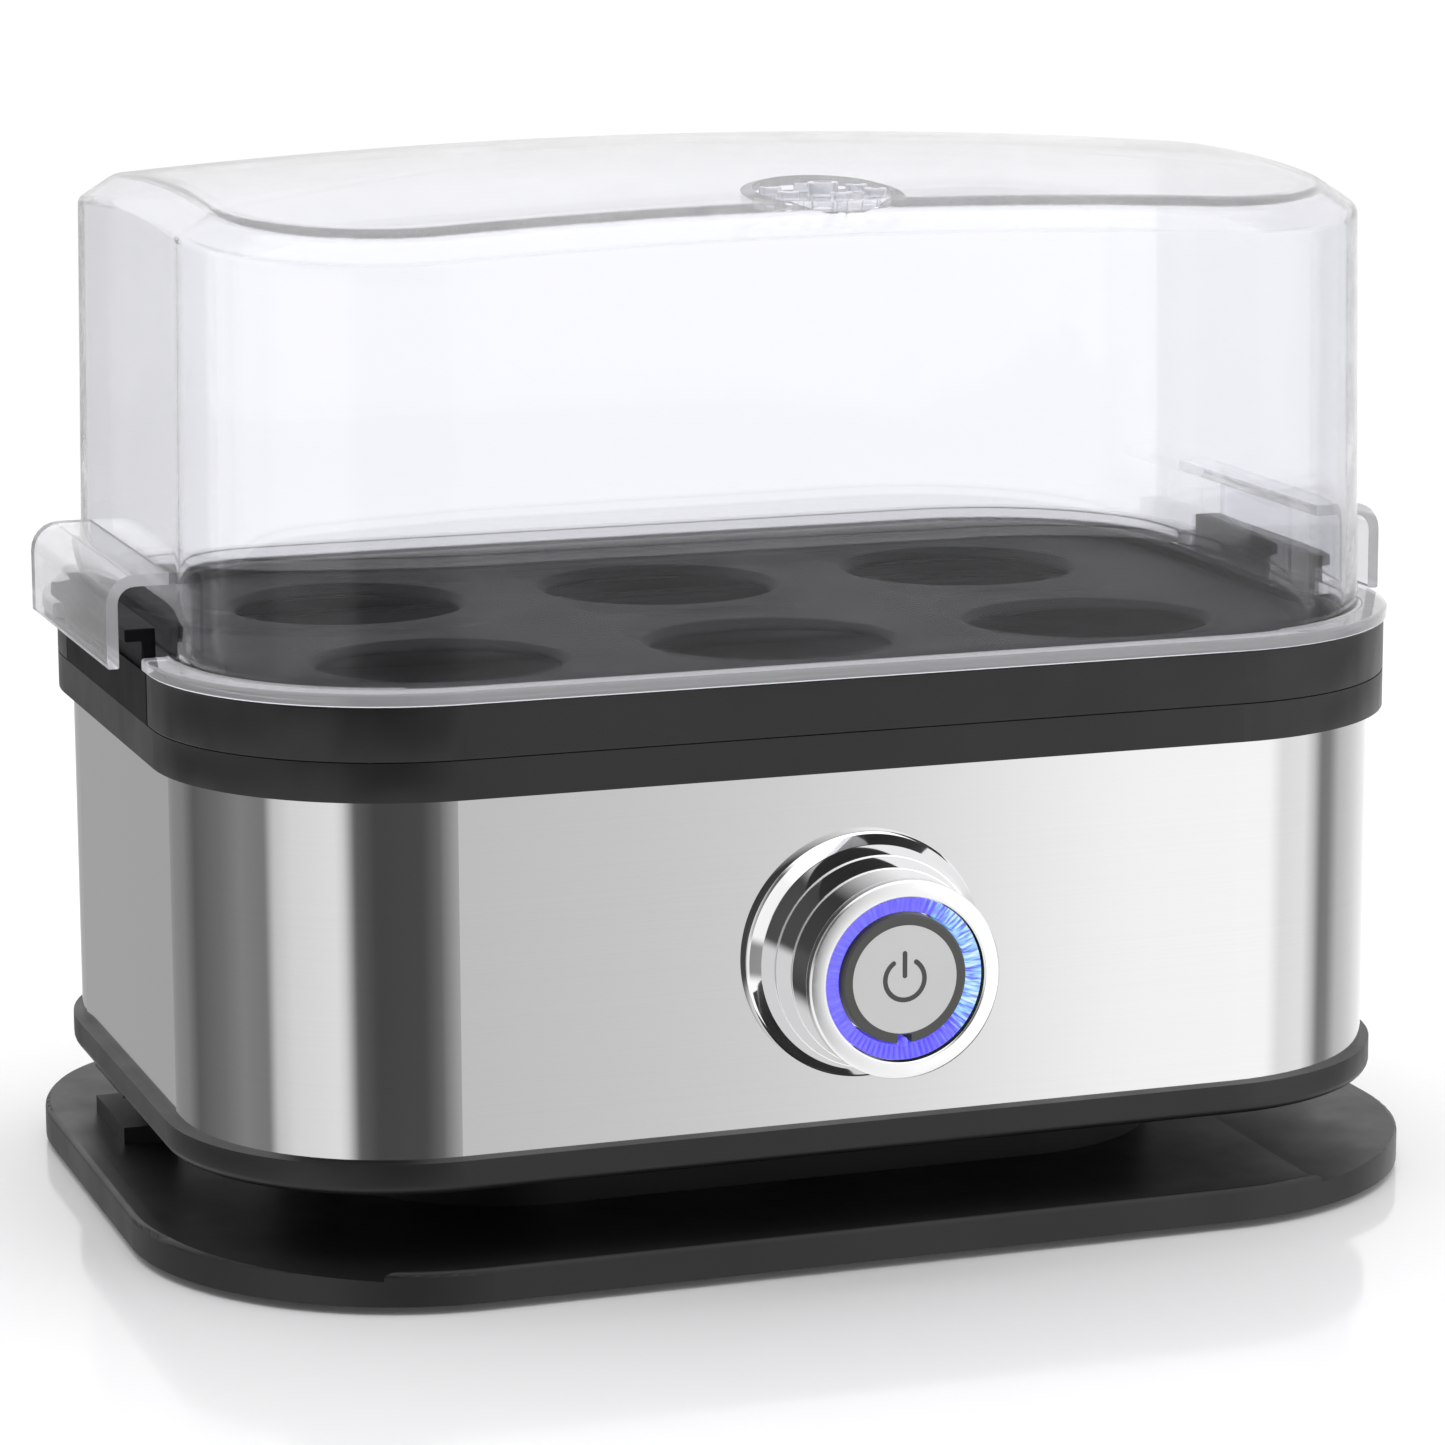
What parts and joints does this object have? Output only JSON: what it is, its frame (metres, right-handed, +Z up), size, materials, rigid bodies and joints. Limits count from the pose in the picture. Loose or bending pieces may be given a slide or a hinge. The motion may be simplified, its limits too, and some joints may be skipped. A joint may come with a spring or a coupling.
{
  "type": "egg cooker",
  "caption": "Electric egg cooker: steel-skinned housing on a wide base, heated bowl, lift-out egg tray, clear lift-off lid with side handles and a lit push button.",
  "frame": {"origin": "bottom centre of the whole cooker, button included, on the surface it stands on", "axes": "+Z up, -Y to the front where the button is, +X to the right seen from the front"},
  "size_m": [0.2112, 0.1624, 0.165],
  "materials": {
    "black_plastic": "fine moulded texture, satin",
    "rubber_black": "matte",
    "stainless": "fine vertical-banded polish",
    "screw_steel": "zinc plated",
    "non_stick": "dark non-stick coating",
    "bare_aluminium": "satin",
    "silicone": "translucent grey silicone",
    "component_black": "moulded component",
    "white_ceramic": "unglazed",
    "board_green": "solder mask",
    "chrome": "polished",
    "satin_ring": "satin silver paint",
    "light_guide": "clear light guide, lit blue",
    "dark_grey": "satin",
    "light_grey": "satin",
    "clear_lid": "clear polished plastic",
    "spring_steel": "drawn wire"
  },
  "bodies": {
    "housing": {"base_plate": "black_plastic", "rubber_feet": "rubber_black", "base_screws": "screw_steel", "housing_screws": "screw_steel", "cord_gland": "rubber_black", "housing_floor": "black_plastic", "steel_shell": "stainless", "top_frame": "black_plastic", "rim_collar": "black_plastic", "heating_bowl": "non_stick", "bowl_gasket": "silicone", "heating_element": "bare_aluminium", "thermostat": "white_ceramic", "thermostat_strap": "screw_steel", "thermal_fuse": "white_ceramic", "control_board": "board_green", "push_switch": "component_black", "relay": "component_black", "terminal_block": "white_ceramic", "buzzer": "component_black", "button_bezel": "chrome", "bezel_nut": "screw_steel", "button_ring": "satin_ring", "light_ring": "light_guide", "led_board": "board_green", "return_spring": "spring_steel"},
    "button": {"button_cap": "dark_grey", "button_face": "light_grey", "power_symbol": "dark_grey"},
    "egg_tray": {"egg_tray": "black_plastic"},
    "lid": {"lid": "clear_lid"}
  },
  "joints": [
    {"name": "tray_lift", "type": "slide", "parent": "housing", "child": "egg_tray", "axis": [0, 0, 1], "range_m": [0, 0.06]},
    {"name": "lid_lift", "type": "slide", "parent": "egg_tray", "child": "lid", "axis": [0, 0, 1], "range_m": [0, 0.09]},
    {"name": "power_press", "type": "slide", "parent": "housing", "child": "button", "axis": [0, 1, 0], "range_m": [0, 0.0015], "stiffness_N_per_m": 400, "springref_m": -0.004, "deforming": ["return_spring"]}
  ]
}
